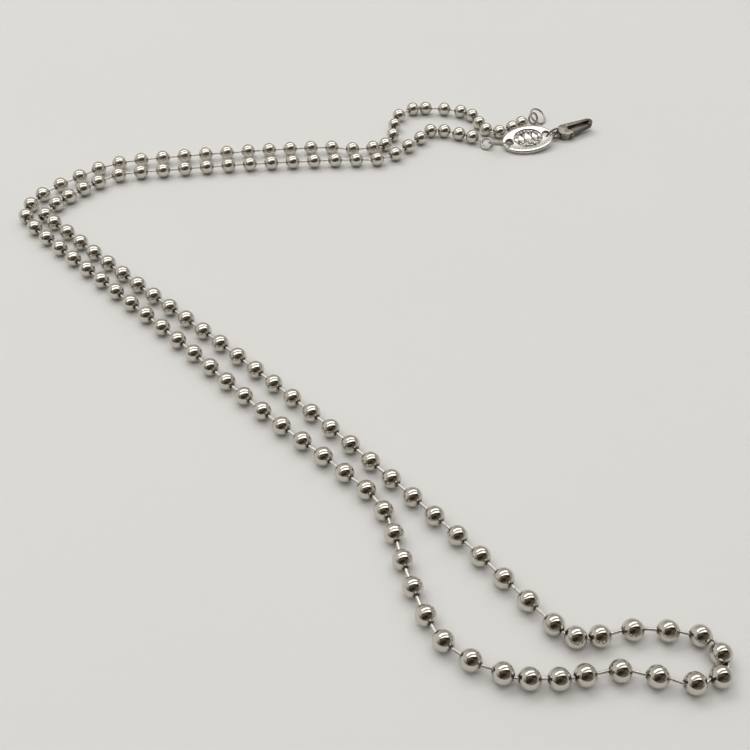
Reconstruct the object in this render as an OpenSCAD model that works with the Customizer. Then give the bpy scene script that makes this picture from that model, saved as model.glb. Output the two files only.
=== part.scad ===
// A ball chain necklace, unfastened and lying on a flat surface, in millimetres.
// The surface is z = 0. Hollow balls slide on short headed pins. One end of the chain
// carries an oval tag and a sprung clasp, and the other end a plain ring.

/* [Balls] */
// Diameter of a ball
ball_d = 3; // [2.8:0.1:3.2]
// Wall of a hollow ball
ball_wall = 0.15; // [0.12:0.01:0.16]
// Room between two balls that are pushed together
ball_gap = 0.12; // [0.1:0.02:0.2]

/* [Pins] */
// Distance between two ball centres where the chain lies open
pitch = 4.6; // [4.5:0.1:5]
// How much further the pins could still be drawn out
slack = 0.8; // [0.7:0.1:0.9]
// Diameter of a pin's wire
pin_d = 0.45; // [0.4:0.05:0.45]
// Room round the wire in a ball's hole
hole_play = 0.2; // [0.18:0.01:0.22]
// How far a pin's head overlaps the edge of the hole
head_lip = 0.05; // [0.03:0.01:0.06]
// Thickness of a pin's head
head_t = 0.15; // [0.1:0.05:0.15]
// Room between a head and the inside of its ball when the pin is drawn right out
head_gap = 0.1; // [0.08:0.02:0.12]

/* [Eyes at the two ends] */
// Outer diameter of the eye on an end pin
eye_d = 3; // [2.9:0.1:3.2]
// Wire of the eye
eye_wire = 0.5; // [0.45:0.05:0.55]
// Bare wire between the last ball and the eye when it is drawn right out
eye_neck = 0.85; // [0.8:0.05:1]

/* [Rings] */
// Outer diameter of the ring between the eye and the tag
tag_ring_d = 5.05; // [4.9:0.05:5.3]
// Outer diameter of the ring between the tag and the clasp
clasp_ring_d = 3.7; // [3.65:0.05:3.9]
// Outer diameter of the plain ring at the other end
end_ring_d = 4.35; // [4.3:0.05:4.6]
// Wire of the three rings
ring_wire = 0.45; // [0.4:0.05:0.5]

/* [Tag] */
// Length of the tag
tag_l = 12; // [11.6:0.2:13]
// Width of the tag
tag_w = 7.9; // [7.4:0.1:8.4]
// Thickness of the tag
tag_t = 1; // [0.8:0.1:1.1]
// Diameter of the two holes in the tag
tag_hole_d = 1.7; // [1.6:0.05:1.8]
// Metal between a hole and the end of the tag
tag_hole_edge = 0.6; // [0.5:0.05:0.7]
// Bevel on the rims of the holes
tag_hole_bevel = 0.25; // [0.2:0.05:0.3]
// Length of the sunk field on the tag's face
field_l = 6.8; // [6:0.2:7]
// Width of the sunk field
field_w = 5.5; // [4.6:0.1:5.8]
// Depth of the sunk field
field_depth = 0.2; // [0.1:0.05:0.3]

/* [Clasp] */
// Length of the clasp from the middle of its eye to its tip
clasp_l = 10.2; // [9.8:0.1:10.6]
// Thickness of the clasp at its wide end
clasp_t = 1.7; // [1.6:0.1:1.9]
// Thickness of the clasp at its tip
clasp_tip_t = 1.2; // [1.1:0.05:1.4]
// Radius of the clasp's wide end
clasp_root_r = 1.85; // [1.8:0.05:2]
// Radius of the clasp's tip
clasp_tip_r = 1; // [0.95:0.05:1.05]
// Width of the hook's arm
clasp_arm = 1; // [0.9:0.05:1.05]
// Outer diameter of the clasp's eye
clasp_eye_d = 2.5; // [2.4:0.1:2.8]
// Wire of the clasp's eye
clasp_eye_wire = 0.6; // [0.5:0.05:0.6]
// Diameter of the rivet that the lever turns on
rivet_d = 0.7; // [0.6:0.05:0.8]
// Width of the slot that the lever's root sits in
slot_t = 1; // [0.95:0.05:1.1]
// Room on each side of the lever in the slot
lever_play = 0.08; // [0.06:0.01:0.1]
// Radius of the thumb nub on the lever
nub_r = 0.4; // [0.3:0.05:0.5]

/* [Hidden] */
$fn = 48;

SILVER = [0.79, 0.78, 0.75];
PEWTER = [0.27, 0.26, 0.25];

// Points that the chain passes, in pitches from the middle of the necklace: [right, away]
ROUTE = [
    [6.9, 13.2], [5.5, 13.7], [4.9, 13.7], [4.4, 13], [3.1, 11.3], [2.2, 10.8],
    [0.3, 10.6], [-3.7, 10], [-7.6, 9.2], [-9.5, 8.7], [-10.8, 7.5], [-11.7, 6.2],
    [-12, 5.4], [-10.7, 4.1], [-7.8, 1.4], [-3.3, -2.6], [1, -6.7], [5.2, -11.1],
    [7.2, -13.4], [8.4, -14.5], [10, -14.2], [11.9, -14.3], [12.4, -14.9],
    [12.3, -15.5], [11.5, -15.8], [9.5, -15.5], [7.8, -15.8], [6.3, -15.7],
    [4.7, -14.8], [3.8, -13], [2.9, -10.2], [1.6, -8.7], [-1.4, -6], [-4.9, -2.5],
    [-8.5, 0.9], [-12.1, 4.3], [-12.8, 5.5], [-12.5, 6.9], [-11.1, 8.6], [-9.5, 9.8],
    [-5.6, 10.8], [-0.6, 11.7], [1.4, 11.7], [2.8, 12.4], [3.1, 14.4], [3.4, 15.3],
    [4.2, 15.9], [5.8, 15.9], [6.7, 15.6], [7.1, 15.2], [7.4, 14.4], [7.8, 13.8],
    [8.5, 13.9], [9.6, 14.9], [10.3, 15.5]
];

// How open the chain lies, link by link: [links in a row, share of the open distance]
DRAWN = [
    [1, 0.05], [1, 0.25], [1, 0], [1, 0.7], [16, 1], [2, 0.4], [1, 0.2], [1, 0.65],
    [1, 0.25], [27, 1], [2, 0.05], [2, 1], [1, 0.7], [2, 0.1], [1, 0.35], [3, 1],
    [1, 0.2], [1, 0.4], [1, 0.15], [3, 0.8], [3, 1], [1, 0.8], [22, 1], [1, 0.7],
    [1, 0.6], [16, 1], [1, 0], [4, 1], [1, 0], [1, 0.85], [1, 0.55], [1, 0],
    [1, 0.35], [1, 0.15], [1, 0], [1, 0.5], [1, 0.05]
];

// A pin in a link closer than this share is hidden by its two balls and is left out
HIDDEN_SHARE = 0.3;
// Steps on the curve between two points of the route
CURVE_STEPS = 8;
// Room left between the surface and what lies on it, and under the two sloping eyes
REST_GAP = 0.03;
EYE_REST_GAP = 0.06;
// Middle of the outline, in millimetres from the middle of the route: it becomes the origin
OUTLINE_MIDDLE = [-0.22, 0.3];
// How far a cut runs past the surface that it opens
CUT = 1;

// Angles of the end pins and rings as they lie: [tilt, slope, turn]
TAG_EYE_LIE = [38, 0, -32];
TAG_RING_LIE = [-32, 5, 6];
TAG_LIE = [15, -5, 19];
CLASP_RING_LIE = [-67, 9, 43];
CLASP_LIE = [8, -4, 25];
END_EYE_LIE = [63, 0, 38];
END_RING_LIE = [33, 10, 35];

// How far each link has slipped along the one before it, and in which direction
TAG_RING_SLIP = 0.5;
TAG_RING_WAY = -10;
TAG_SLIP = -0.05;
TAG_WAY = 11;
CLASP_RING_SLIP = 0.2;
CLASP_RING_WAY = 37;
CLASP_SLIP = -0.28;
CLASP_WAY = 45;
END_RING_SLIP = -0.18;
END_RING_WAY = 45;
END_EYE_DRAWN = 0.88;

// A plain ornament of lozenges and dots, placed by shares of the sunk field
LOZENGES = [
    // share along, half length, half width
    [0, 0.125, 0.3], [0.235, 0.095, 0.235], [-0.235, 0.095, 0.235],
    [0.405, 0.055, 0.14], [-0.405, 0.055, 0.14]
];
DOTS = [
    // share along, share across
    [0, 0.39], [0.12, 0.33], [0.235, 0.33], [0.335, 0.22]
];
DOT_D = 0.48;
// Facets of a dot and of an oval
DOT_SIDES = 16;
OVAL_SIDES = 120;

// The smooth curve through the route, and the distance travelled along it
function bend(a, b, c, d, t) =
    (2*b + (c - a)*t + (2*a - 5*b + 4*c - d)*t*t + (3*b - a - 3*c + d)*t*t*t) / 2;
route_last = len(ROUTE) - 1;
curve = [for (i = [0:route_last - 1], k = [0:CURVE_STEPS - 1])
    pitch * bend(ROUTE[max(i - 1, 0)], ROUTE[i], ROUTE[i + 1],
                 ROUTE[min(i + 2, route_last)], k / CURVE_STEPS)];
travel = [for (i = 0, s = 0; i < len(curve);
               s = s + (i + 1 < len(curve) ? norm(curve[i + 1] - curve[i]) : 0), i = i + 1) s];
curve_x = [for (i = [0:len(curve) - 1]) [travel[i], curve[i].x]];
curve_y = [for (i = [0:len(curve) - 1]) [travel[i], curve[i].y]];
function on_curve(s) = [lookup(s, curve_x) - OUTLINE_MIDDLE.x,
                        lookup(s, curve_y) - OUTLINE_MIDDLE.y, ball_d/2];

// The place on the curve whose straight distance from place s is the gap between two balls
function next_place(s, gap, step, tries = 4) = tries == 0 ? s + step :
    next_place(s, gap, step * gap / norm(on_curve(s + step) - on_curve(s)), tries - 1);
shares = [for (run = DRAWN) for (k = [1:run[0]]) run[1]];
gaps = [for (share = shares) (ball_d + ball_gap)*(1 - share) + pitch*share];
places = [for (i = 0, s = 0; i <= len(gaps);
               s = i < len(gaps) ? next_place(s, gaps[i], gaps[i]) : s, i = i + 1) s];
centres = [for (s = places) on_curve(s)];
last = len(centres) - 1;

// Directions and places after the turns [tilt, slope, turn]
function unit(v) = v / norm(v);
function turned(v, lie) =
    let (a = [v.x, v.y*cos(lie.x) - v.z*sin(lie.x), v.y*sin(lie.x) + v.z*cos(lie.x)])
    let (b = [a.x*cos(lie.y) + a.z*sin(lie.y), a.y, a.z*cos(lie.y) - a.x*sin(lie.y)])
    [b.x*cos(lie.z) - b.y*sin(lie.z), b.x*sin(lie.z) + b.y*cos(lie.z), b.z];
function way(degrees) = [cos(degrees), sin(degrees), 0];
function flat(p) = [p.x, p.y, 0];
function up(z) = [0, 0, z];

// Balls and pins
hole_d = pin_d + 2*hole_play;
head_d = hole_d + 2*head_lip;
head_seat = sqrt(pow(ball_d/2 - ball_wall - head_gap, 2) - pow(head_d/2, 2));
hole_reach = ball_d/2 - ball_wall/2;
pin_bare = pitch + slack - 2*head_seat;

// The end pins slope down from the ball's middle until their eyes touch the surface
eye_r = (eye_d - eye_wire)/2;
eye_shift = (1 - END_EYE_DRAWN)*eye_neck;
eye_shank = ball_d/2 - head_seat + eye_neck + eye_d/2;
function eye_height(lie) = eye_wire/2 + eye_r*abs(sin(lie.x)) + EYE_REST_GAP;
function eye_lie(lie, reach) = lie + [0, asin((ball_d/2 - eye_height(lie))/reach), 0];
eye_reach = ball_d/2 + eye_neck + eye_d/2;
tag_eye_lie = eye_lie(TAG_EYE_LIE, eye_reach);
end_eye_lie = eye_lie(END_EYE_LIE, eye_reach - eye_shift);
tag_eye_way = turned([1, 0, 0], tag_eye_lie);
end_eye_way = turned([1, 0, 0], end_eye_lie);

// A ball's hole points halfway between its two pins, or along its one pin
function has_pin(i) = i < 0 || i == last || shares[i] > HIDDEN_SHARE;
function link_way(i) = i < 0 ? -tag_eye_way : i == last ? end_eye_way :
    unit(centres[i + 1] - centres[i]);
axes = [for (i = [0:last]) unit(has_pin(i) && !has_pin(i - 1) ? link_way(i) :
                                has_pin(i - 1) && !has_pin(i) ? link_way(i - 1) :
                                link_way(i - 1) + link_way(i))];
function hole_at(i, side) = centres[i] + side*hole_reach*axes[i];
tag_eye_at = hole_at(0, -1) + (eye_reach - hole_reach)*tag_eye_way;
end_eye_at = hole_at(last, 1) + (eye_reach - eye_shift - hole_reach)*end_eye_way;

// A ring lies on the surface at its own tilt, with its edge through the link before it
function ring_r(d) = (d - ring_wire)/2;
function ring_height(d, lie) =
    up(ring_wire/2 + ring_r(d)*norm([sin(lie.y), cos(lie.y)*sin(lie.x)]) + REST_GAP);
tag_ring_at = flat(tag_eye_at) + (ring_r(tag_ring_d) + TAG_RING_SLIP)*way(TAG_RING_WAY)
    + ring_height(tag_ring_d, TAG_RING_LIE);
end_ring_at = flat(end_eye_at) + (ring_r(end_ring_d) + END_RING_SLIP)*way(END_RING_WAY)
    + ring_height(end_ring_d, END_RING_LIE);

// The tag rests on its front rim
tag_hole_x = tag_l/2 - tag_hole_edge - tag_hole_d/2;
tag_rise = norm([tag_l/2*sin(TAG_LIE.y), tag_w/2*cos(TAG_LIE.y)*sin(TAG_LIE.x)])
    + tag_t/2*cos(TAG_LIE.y)*cos(TAG_LIE.x) + REST_GAP;
tag_near_hole = flat(tag_ring_at) + (ring_r(tag_ring_d) + TAG_SLIP)*way(TAG_WAY);
tag_at = tag_near_hole + flat(turned([tag_hole_x, 0, 0], TAG_LIE)) + up(tag_rise);
tag_far_hole = flat(tag_at + turned([tag_hole_x, 0, 0], TAG_LIE));

// Plan of the clasp, with its eye at the origin and its tip towards +X
// How far the eye's wire is set into the wide end
EYE_SET = 0.1;
// How far the tip's middle lies off the clasp's middle line
TIP_RISE = 0.77;
// The hook's opening: radius at its two ends, where it starts after the wide end, and how
// much thicker the arm is there
BOW_R = 0.7;
BOW_TIP_R = 0.25;
BOW_SHIFT = 1.3;
BOW_EXTRA = 0.05;
// Where the gate starts after the wide end and ends before the tip's middle, and how far
// past the clasp's middle line it reaches
GATE_START = 1.35;
GATE_END = 0.5;
GATE_TOP = 0.5;
// The lever: place of its pivot, its two ends, and the wall that is left beside the pivot
PIVOT_SHIFT = 0.4;
LEVER_ROOT_R = 0.8;
LEVER_TIP_R = 0.33;
LEVER_EDGE = 0.2;
// Room between the lever's tip and the hook, and how far the tip lies off the middle line
LEVER_TIP_GAP = 0.07;
LEVER_TIP_SET = 0.2;
// How far the thumb nub lies beyond the pivot, and how far the lever opens
NUB_SHIFT = 0.4;
LEVER_OPEN = 8;
// Room round the rivet in the cheeks and in the lever, and round the lever in its slot
RIVET_FIT = 0.02;
RIVET_PLAY = 0.06;
SLOT_ROOM = 0.12;
// How much lower than the cheeks the lever's bar is
BAR_INSET = 0.15;

root_at = [clasp_eye_d/2 - clasp_eye_wire + EYE_SET + clasp_root_r, 0];
tip_at = [clasp_l - clasp_tip_r, TIP_RISE];
bow_at = root_at + [BOW_SHIFT, clasp_root_r - clasp_arm - BOW_EXTRA - BOW_R];
gate_x = [root_at.x + GATE_START, tip_at.x - GATE_END];
pivot_at = root_at + [PIVOT_SHIFT, LEVER_ROOT_R + LEVER_EDGE - clasp_root_r];
lever_tip_at = [gate_x[1] - LEVER_TIP_R - LEVER_TIP_GAP, -LEVER_TIP_SET];
nub_at = [pivot_at.x + NUB_SHIFT, -clasp_root_r];

// The clasp rests on the edge of its wide end, with its tip a little off the surface
clasp_ring_at = tag_far_hole + (ring_r(clasp_ring_d) + CLASP_RING_SLIP)*way(CLASP_RING_WAY)
    + ring_height(clasp_ring_d, CLASP_RING_LIE);
clasp_rise = clasp_t/2*cos(CLASP_LIE.x)*cos(CLASP_LIE.y) + root_at.x*sin(CLASP_LIE.y)
    + clasp_root_r*norm([sin(CLASP_LIE.x)*cos(CLASP_LIE.y), sin(CLASP_LIE.y)]) + REST_GAP;
clasp_at = flat(clasp_ring_at) + (ring_r(clasp_ring_d) + CLASP_SLIP)*way(CLASP_WAY)
    + up(clasp_rise);

module along(v) rotate([0, acos(v.z), atan2(v.y, v.x)]) children();

module wire_ring(d, wire) rotate_extrude() translate([(d - wire)/2, 0]) circle(d = wire);

module ball() {
    difference() {
        sphere(d = ball_d);
        sphere(d = ball_d - 2*ball_wall);
        cylinder(d = hole_d, h = ball_d + CUT, center = true);
    }
}

module balls() {
    color(SILVER)
        for (i = [0:last]) translate(centres[i]) along(axes[i]) ball();
}

module pin() {
    rotate_extrude() polygon([
        [0, -pin_bare/2 - head_t], [head_d/2, -pin_bare/2 - head_t], [head_d/2, -pin_bare/2],
        [pin_d/2, -pin_bare/2], [pin_d/2, pin_bare/2],
        [head_d/2, pin_bare/2], [head_d/2, pin_bare/2 + head_t], [0, pin_bare/2 + head_t]
    ]);
}

module pins() {
    color(SILVER)
        for (i = [0:last - 1]) if (has_pin(i))
            let (from = hole_at(i, 1), to = hole_at(i + 1, -1))
                translate((from + to)/2) along(unit(to - from)) pin();
}

module eye_pin() {
    wire_ring(eye_d, eye_wire);
    translate([-eye_shank, 0, 0]) rotate([0, 90, 0]) {
        cylinder(d = pin_d, h = eye_shank - eye_r);
        translate([0, 0, -head_t]) cylinder(d = head_d, h = head_t);
    }
}

module tag_eye_pin() {
    color(SILVER) translate(tag_eye_at) rotate(tag_eye_lie) eye_pin();
}

module end_eye_pin() {
    color(SILVER) translate(end_eye_at) rotate(end_eye_lie) eye_pin();
}

module tag_ring() {
    color(SILVER) translate(tag_ring_at) rotate(TAG_RING_LIE) wire_ring(tag_ring_d, ring_wire);
}

module end_ring() {
    color(SILVER) translate(end_ring_at) rotate(END_RING_LIE) wire_ring(end_ring_d, ring_wire);
}

module clasp_ring() {
    color(PEWTER) translate(clasp_ring_at) rotate(CLASP_RING_LIE)
        wire_ring(clasp_ring_d, ring_wire);
}

module oval(l, w) scale([1, w/l]) circle(d = l, $fn = OVAL_SIDES);

module lozenge(half_l, half_w)
    polygon([[-half_l, 0], [0, -half_w], [half_l, 0], [0, half_w]]);

module ornament() {
    for (row = LOZENGES)
        translate([row[0]*field_l, 0]) lozenge(row[1]*field_l, row[2]*field_w);
    for (row = DOTS, side = [-1, 1], end = row[0] > 0 ? [-1, 1] : [1])
        translate([end*row[0]*field_l, side*row[1]*field_w]) circle(d = DOT_D, $fn = DOT_SIDES);
}

module tag_hole() {
    bevel_h = tag_hole_bevel + CUT;
    cylinder(d = tag_hole_d, h = tag_t + CUT, center = true);
    for (side = [0, 1]) mirror([0, 0, side])
        translate([0, 0, tag_t/2 - tag_hole_bevel])
            cylinder(d1 = tag_hole_d, d2 = tag_hole_d + 2*bevel_h, h = bevel_h);
}

module tag() {
    color(SILVER) translate(tag_at) rotate(TAG_LIE) difference() {
        translate([0, 0, -tag_t/2]) linear_extrude(tag_t) oval(tag_l, tag_w);
        for (side = [-1, 1]) translate([side*tag_hole_x, 0, 0]) tag_hole();
        translate([0, 0, tag_t/2 - field_depth]) linear_extrude(field_depth + CUT)
            difference() {
                oval(field_l, field_w);
                ornament();
            }
    }
}

// Two circles joined by the two lines that touch them both
module taper(a, b, r_a, r_b) {
    apart = norm(b - a);
    turn = atan2(b.y - a.y, b.x - a.x);
    touch = acos((r_a - r_b)/apart);
    translate(a) rotate(turn) {
        circle(r = r_a);
        translate([apart, 0]) circle(r = r_b);
        polygon([r_a*[cos(touch), sin(touch)], r_a*[cos(touch), -sin(touch)],
                 [apart, 0] + r_b*[cos(touch), -sin(touch)],
                 [apart, 0] + r_b*[cos(touch), sin(touch)]]);
    }
}

module slab(thickness) translate([0, 0, -thickness/2]) linear_extrude(thickness) children();

module about_pivot(angle)
    translate(pivot_at) rotate(angle) translate(-pivot_at) children();

// The space that the lever's root and nub sweep through, between the two cheeks
module lever_sweep() {
    for (angle = [0, LEVER_OPEN]) about_pivot(angle)
        taper(pivot_at, lever_tip_at, LEVER_ROOT_R + SLOT_ROOM, LEVER_TIP_R + SLOT_ROOM);
    translate([pivot_at.x - nub_r/2, pivot_at.y - 2*clasp_root_r])
        square([gate_x[0] - pivot_at.x + nub_r, 2*clasp_root_r]);
}

// The clasp from the side, as a wide block that is thinner towards the tip
module clasp_side(inset = 0) {
    root = clasp_t/2 - inset;
    tip = clasp_tip_t/2 - inset;
    rotate([90, 0, 0]) linear_extrude(4*clasp_root_r, center = true) polygon([
        [-clasp_l, -root], [root_at.x, -root], [clasp_l + CUT, -tip],
        [clasp_l + CUT, tip], [root_at.x, root], [-clasp_l, root]
    ]);
}

module clasp_body() {
    color(PEWTER) translate(clasp_at) rotate(CLASP_LIE) {
        wire_ring(clasp_eye_d, clasp_eye_wire);
        difference() {
            intersection() {
                slab(clasp_t + CUT) difference() {
                    taper(root_at, tip_at, clasp_root_r, clasp_tip_r);
                    taper(bow_at, tip_at, BOW_R, BOW_TIP_R);
                    translate([gate_x[0], GATE_TOP - 2*clasp_root_r])
                        square([gate_x[1] - gate_x[0], 2*clasp_root_r]);
                }
                clasp_side();
            }
            slab(slot_t) lever_sweep();
            translate(pivot_at)
                cylinder(d = rivet_d + 2*RIVET_FIT, h = clasp_t + CUT, center = true);
        }
    }
}

module clasp_lever() {
    color(PEWTER) translate(clasp_at) rotate(CLASP_LIE) difference() {
        union() {
            slab(slot_t - 2*lever_play) {
                taper(pivot_at, lever_tip_at, LEVER_ROOT_R, LEVER_TIP_R);
                taper(pivot_at, nub_at, nub_r, nub_r);
            }
            intersection() {
                slab(clasp_t) intersection() {
                    taper(pivot_at, lever_tip_at, LEVER_ROOT_R, LEVER_TIP_R);
                    translate([gate_x[0] + LEVER_EDGE, -clasp_root_r])
                        square([clasp_l, 2*clasp_root_r]);
                }
                clasp_side(BAR_INSET);
            }
        }
        translate(pivot_at)
            cylinder(d = rivet_d + 2*RIVET_PLAY, h = clasp_t + CUT, center = true);
    }
}

module clasp_rivet() {
    color(PEWTER) translate(clasp_at) rotate(CLASP_LIE) translate(pivot_at)
        cylinder(d = rivet_d, h = clasp_t, center = true);
}

balls();
pins();
tag_eye_pin();
tag_ring();
tag();
clasp_ring();
clasp_body();
clasp_lever();
clasp_rivet();
end_eye_pin();
end_ring();
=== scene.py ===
from bisect import bisect_right
from math import asin, cos, degrees, hypot, pi, radians, sin, sqrt

import bpy
from mathutils import Euler, Matrix, Quaternion, Vector


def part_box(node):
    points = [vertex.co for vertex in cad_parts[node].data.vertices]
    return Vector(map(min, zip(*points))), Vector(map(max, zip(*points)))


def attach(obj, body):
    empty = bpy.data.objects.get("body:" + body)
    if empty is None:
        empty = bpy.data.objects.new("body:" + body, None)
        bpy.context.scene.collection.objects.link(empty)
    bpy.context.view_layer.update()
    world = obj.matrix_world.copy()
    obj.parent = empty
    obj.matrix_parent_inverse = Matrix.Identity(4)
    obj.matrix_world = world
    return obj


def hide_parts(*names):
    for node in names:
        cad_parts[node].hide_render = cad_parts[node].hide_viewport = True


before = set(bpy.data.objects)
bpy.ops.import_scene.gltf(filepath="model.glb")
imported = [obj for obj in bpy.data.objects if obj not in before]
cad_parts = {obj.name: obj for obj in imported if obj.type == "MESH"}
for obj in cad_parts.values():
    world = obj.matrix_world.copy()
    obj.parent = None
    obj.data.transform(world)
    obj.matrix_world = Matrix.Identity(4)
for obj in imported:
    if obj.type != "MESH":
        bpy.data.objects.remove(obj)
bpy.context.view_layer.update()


# Balls
# 128 hollow balls of polished sterling silver, 3 mm across. Each is rolled from thin sheet
# and drilled through, and its two holes have a rim that the tool has pushed in a little.

MM = 0.001
BALL_D, PITCH = 3 * MM, 4.6 * MM
# Room between two balls that are pushed together
BALL_GAP = 0.12 * MM
PIN_D, HOLE_PLAY = 0.45 * MM, 0.2 * MM
HOLE_D, HOLE_DEPTH = PIN_D + 2 * HOLE_PLAY, 0.42 * MM
BALL_SIDES, BALL_ROWS = 24, 12
# The hole from its rim inwards: (how much narrower, how much deeper)
HOLE_STEPS = [(0.93, 0.015 * MM), (0.95, 0.06 * MM), (1, HOLE_DEPTH)]
# Painted shade in the holes and on their rims: how dark each is, and where the rim ends
HOLE_SHADE, RIM_SHADE, HOLE_SHARE, RIM_SHARE = 1, 0.35, 0.95, 1.02
# The polished colour, and a dark one for the painted shade in the holes and some random tarnish
POLISHED, TARNISH_AND_SHADE = (0.655, 0.625, 0.56), (0.10, 0.085, 0.065)
# The shading stays crisp over edges sharper than this
BALL_CRISP = radians(50)

# A pin in a link closer than this share is hidden by its two balls
HIDDEN_SHARE = 0.3
# Steps on the curve between two points of the route, and rounds to find a ball's place on it
CURVE_STEPS, PLACE_ROUNDS = 8, 4
# Middle of the outline, from the middle of the route
OUTLINE_MIDDLE = Vector((-0.22, 0.3)) * MM

# Points that the chain passes, in pitches: (right, away)
ROUTE = [
    (6.9, 13.2), (5.5, 13.7), (4.9, 13.7), (4.4, 13), (3.1, 11.3), (2.2, 10.8),
    (0.3, 10.6), (-3.7, 10), (-7.6, 9.2), (-9.5, 8.7), (-10.8, 7.5), (-11.7, 6.2),
    (-12, 5.4), (-10.7, 4.1), (-7.8, 1.4), (-3.3, -2.6), (1, -6.7), (5.2, -11.1),
    (7.2, -13.4), (8.4, -14.5), (10, -14.2), (11.9, -14.3), (12.4, -14.9),
    (12.3, -15.5), (11.5, -15.8), (9.5, -15.5), (7.8, -15.8), (6.3, -15.7),
    (4.7, -14.8), (3.8, -13), (2.9, -10.2), (1.6, -8.7), (-1.4, -6), (-4.9, -2.5),
    (-8.5, 0.9), (-12.1, 4.3), (-12.8, 5.5), (-12.5, 6.9), (-11.1, 8.6), (-9.5, 9.8),
    (-5.6, 10.8), (-0.6, 11.7), (1.4, 11.7), (2.8, 12.4), (3.1, 14.4), (3.4, 15.3),
    (4.2, 15.9), (5.8, 15.9), (6.7, 15.6), (7.1, 15.2), (7.4, 14.4), (7.8, 13.8),
    (8.5, 13.9), (9.6, 14.9), (10.3, 15.5),
]

# How open the chain lies, link by link: (links in a row, share of the open distance)
DRAWN = [
    (1, 0.05), (1, 0.25), (1, 0), (1, 0.7), (16, 1), (2, 0.4), (1, 0.2), (1, 0.65),
    (1, 0.25), (27, 1), (2, 0.05), (2, 1), (1, 0.7), (2, 0.1), (1, 0.35), (3, 1),
    (1, 0.2), (1, 0.4), (1, 0.15), (3, 0.8), (3, 1), (1, 0.8), (22, 1), (1, 0.7),
    (1, 0.6), (16, 1), (1, 0), (4, 1), (1, 0), (1, 0.85), (1, 0.55), (1, 0),
    (1, 0.35), (1, 0.15), (1, 0), (1, 0.5), (1, 0.05),
]


def bend(a, b, c, d, t):
    """A point on the smooth curve from b to c."""
    return (2 * b + (c - a) * t + (2 * a - 5 * b + 4 * c - d) * t * t
            + (3 * b - a - 3 * c + d) * t ** 3) / 2


knots = [Vector(point) * PITCH for point in ROUTE]
curve = [bend(knots[max(i - 1, 0)], knots[i], knots[i + 1],
              knots[min(i + 2, len(knots) - 1)], k / CURVE_STEPS)
         for i in range(len(knots) - 1) for k in range(CURVE_STEPS)]
travel = [0.0]
for here, there in zip(curve, curve[1:]):
    travel.append(travel[-1] + (there - here).length)


def on_curve(s):
    """The ball centre at distance s along the route."""
    i = min(max(bisect_right(travel, s) - 1, 0), len(travel) - 2)
    share = min((s - travel[i]) / (travel[i + 1] - travel[i]), 1)
    flat = curve[i].lerp(curve[i + 1], share) - OUTLINE_MIDDLE
    return flat.to_3d() + Vector((0, 0, BALL_D / 2))


def next_place(s, gap):
    """The place on the route whose straight distance from place s is this gap."""
    step = gap
    for _ in range(PLACE_ROUNDS):
        step *= gap / (on_curve(s + step) - on_curve(s)).length
    return s + step


shares = [share for links, share in DRAWN for _ in range(links)]
places = [0.0]
for share in shares:
    places.append(next_place(places[-1], (BALL_D + BALL_GAP) * (1 - share) + PITCH * share))
centres = [on_curve(s) for s in places]
last = len(centres) - 1


def middle(node):
    """The middle of a solid's box."""
    low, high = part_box(node)
    return (Vector(low) + Vector(high)) / 2


def link_way(i):
    """The direction of link i, and of the two eyes before the first ball and after the last."""
    if i < 0:
        return (centres[0] - middle("tag_eye_pin")).normalized()
    if i == last:
        return (middle("end_eye_pin") - centres[last]).normalized()
    return (centres[i + 1] - centres[i]).normalized()


def has_pin(i):
    return i < 0 or i == last or shares[i] > HIDDEN_SHARE


def hole_way(i):
    """A ball's hole points halfway between its two pins, or along its one pin."""
    before, after = has_pin(i - 1), has_pin(i)
    way = link_way(i - 1) * (before or not after) + link_way(i) * (after or not before)
    return way.normalized()


axes = [hole_way(i) for i in range(last + 1)]


def start(add, name, **sizes):
    """Adds a primitive with nothing else selected, so that operators act on it alone."""
    bpy.ops.object.select_all(action="DESELECT")
    add(**sizes)
    piece = bpy.context.object
    piece.name = piece.data.name = name
    return piece


def choose(*pieces):
    """Selects these pieces alone, the first as the active one."""
    bpy.ops.object.select_all(action="DESELECT")
    for piece in pieces:
        piece.select_set(True)
    bpy.context.view_layer.objects.active = pieces[0]


def settle(piece):
    """Takes a piece's place, turn and size into its mesh, and leaves it at the origin."""
    choose(piece)
    bpy.ops.object.transform_apply(location=True, rotation=True, scale=True)
    return piece


def join(name, pieces):
    choose(*pieces)
    bpy.ops.object.join()
    pieces[0].name = pieces[0].data.name = name
    return settle(pieces[0])


def along(way):
    """A turn that takes +Z to this direction."""
    return way.to_track_quat("Z", "Y").to_matrix().to_4x4()


def repeat(name, piece, spots):
    """Copies a piece to each spot, with a mesh of its own, and joins the copies."""
    copies = []
    for spot in spots:
        copy = piece.copy()
        copy.data = piece.data.copy()
        copy.matrix_world = spot
        bpy.context.collection.objects.link(copy)
        copies.append(copy)
    bpy.data.objects.remove(piece)
    return join(name, copies)


ball = start(bpy.ops.mesh.primitive_uv_sphere_add, "ball",
             segments=BALL_SIDES, ring_count=BALL_ROWS, radius=BALL_D / 2)
rim_z = sqrt((BALL_D / 2) ** 2 - (HOLE_D / 2) ** 2)
bpy.ops.object.mode_set(mode="EDIT")
for side in (1, -1):
    bpy.ops.mesh.select_all(action="SELECT")
    bpy.ops.mesh.bisect(plane_co=(0, 0, side * rim_z), plane_no=(0, 0, side), clear_outer=True)
    for narrower, deeper in HOLE_STEPS:
        bpy.ops.mesh.extrude_region_move(TRANSFORM_OT_translate={"value": (0, 0, -side * deeper)})
        bpy.ops.transform.resize(value=(narrower, narrower, 1))
    bpy.ops.mesh.edge_face_add()
bpy.ops.mesh.select_all(action="SELECT")
bpy.ops.mesh.normals_make_consistent(inside=False)
bpy.ops.object.mode_set(mode="OBJECT")
bpy.ops.object.shade_smooth_by_angle(angle=BALL_CRISP)

# Painted shade: full in the holes, lighter on their rims
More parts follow.
